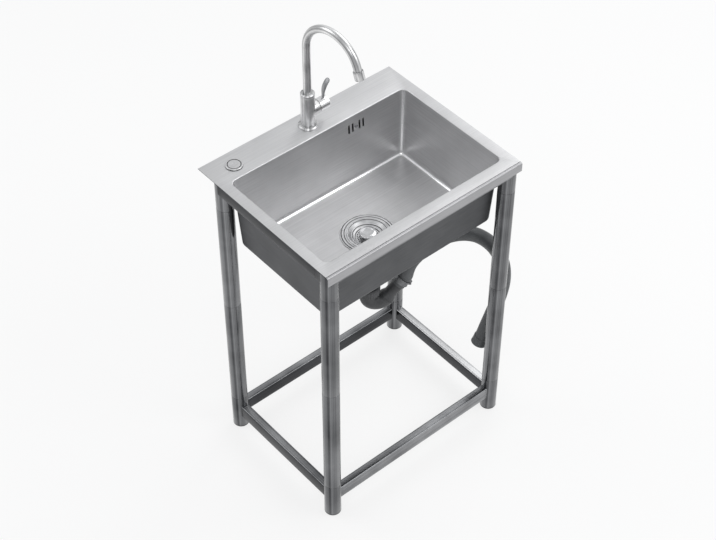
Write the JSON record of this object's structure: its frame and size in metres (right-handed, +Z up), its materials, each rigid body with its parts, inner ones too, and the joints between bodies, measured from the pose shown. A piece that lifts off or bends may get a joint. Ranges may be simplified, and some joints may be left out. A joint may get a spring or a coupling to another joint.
{
  "type": "kitchen sink unit",
  "caption": "Free-standing steel sink: a deep bowl with deck and front apron on four round legs with rails, with gooseneck tap, basket strainer, trap and drain hose.",
  "frame": {"origin": "on the floor, under the centre of the deck's outline", "axes": "+X along the deck's long side to the right as seen from the front, +Y from the front apron to the tap side, +Z up"},
  "size_m": [0.6015, 0.442, 1.1176],
  "materials": {
    "sink_steel": "satin brushed stainless steel",
    "drain_steel": "polished stainless steel",
    "tap_steel": "fine brushed stainless steel",
    "stand_steel": "polished stainless steel tube",
    "clamp_steel": "dull steel band",
    "grey_plastic": "dark grey moulded plastic",
    "hose_plastic": "smooth grey soft plastic",
    "foot_plastic": "black moulded plastic",
    "black_rubber": "black rubber",
    "ceramic": "pale ceramic and plastic valve"
  },
  "bodies": {
    "sink_unit": {"sink_basin": "sink_steel", "blanking_cap": "sink_steel", "blanking_cap_nut": "grey_plastic", "overflow_box": "grey_plastic", "overflow_screw": "stand_steel", "overflow_pipe": "grey_plastic", "strainer_body": "drain_steel", "strainer_outlet": "drain_steel", "strainer_gasket": "black_rubber", "strainer_lock_nut": "grey_plastic", "tail_pipe": "grey_plastic", "tail_slip_nut": "grey_plastic", "trap_bend": "grey_plastic", "trap_slip_nut": "grey_plastic", "trap_arm": "grey_plastic", "hose_clamp": "clamp_steel", "hose_clamp_screw": "clamp_steel", "drain_hose": "hose_plastic", "hose_end_cuff": "hose_plastic", "tap_base_flange": "tap_steel", "tap_body": "tap_steel", "tap_cartridge": "ceramic", "spout_collar": "tap_steel", "tap_shank": "tap_steel", "tap_washer": "black_rubber", "tap_lock_nut": "tap_steel", "foot_pad_front_left": "foot_plastic", "foot_pad_front_right": "foot_plastic", "foot_pad_rear_left": "foot_plastic", "foot_pad_rear_right": "foot_plastic", "lower_corner_front_left": "stand_steel", "lower_corner_front_right": "stand_steel", "lower_corner_rear_left": "stand_steel", "lower_corner_rear_right": "stand_steel", "lower_leg_front_left": "stand_steel", "lower_leg_front_right": "stand_steel", "lower_leg_rear_left": "stand_steel", "lower_leg_rear_right": "stand_steel", "upper_leg_front_left": "stand_steel", "upper_leg_front_right": "stand_steel", "upper_leg_rear_left": "stand_steel", "upper_leg_rear_right": "stand_steel", "top_corner_front_left": "stand_steel", "top_corner_front_right": "stand_steel", "top_corner_rear_left": "stand_steel", "top_corner_rear_right": "stand_steel", "lower_rail_front": "stand_steel", "lower_rail_rear": "stand_steel", "lower_rail_left": "stand_steel", "lower_rail_right": "stand_steel", "top_rail_front": "stand_steel", "top_rail_rear": "stand_steel", "top_rail_left": "stand_steel", "top_rail_right": "stand_steel"},
    "spout": {"spout_tube": "tap_steel", "aerator": "tap_steel"},
    "handle": {"tap_handle_hub": "tap_steel", "tap_lever": "tap_steel"},
    "basket": {"strainer_basket": "drain_steel", "basket_knob": "drain_steel"}
  },
  "joints": [
    {"name": "spout_swivel", "type": "hinge", "parent": "sink_unit", "child": "spout", "pos_m": [0, 0.1796, 0.9], "axis": [0, 0, 1], "continuous": true},
    {"name": "lever_turn", "type": "hinge", "parent": "sink_unit", "child": "handle", "pos_m": [0.04, 0.1796, 0.855], "axis": [1, 0, 0], "range_deg": [0, 90]},
    {"name": "basket_lift", "type": "slide", "parent": "sink_unit", "child": "basket", "axis": [0, 0, 1], "range_m": [0, 0.08]}
  ]
}
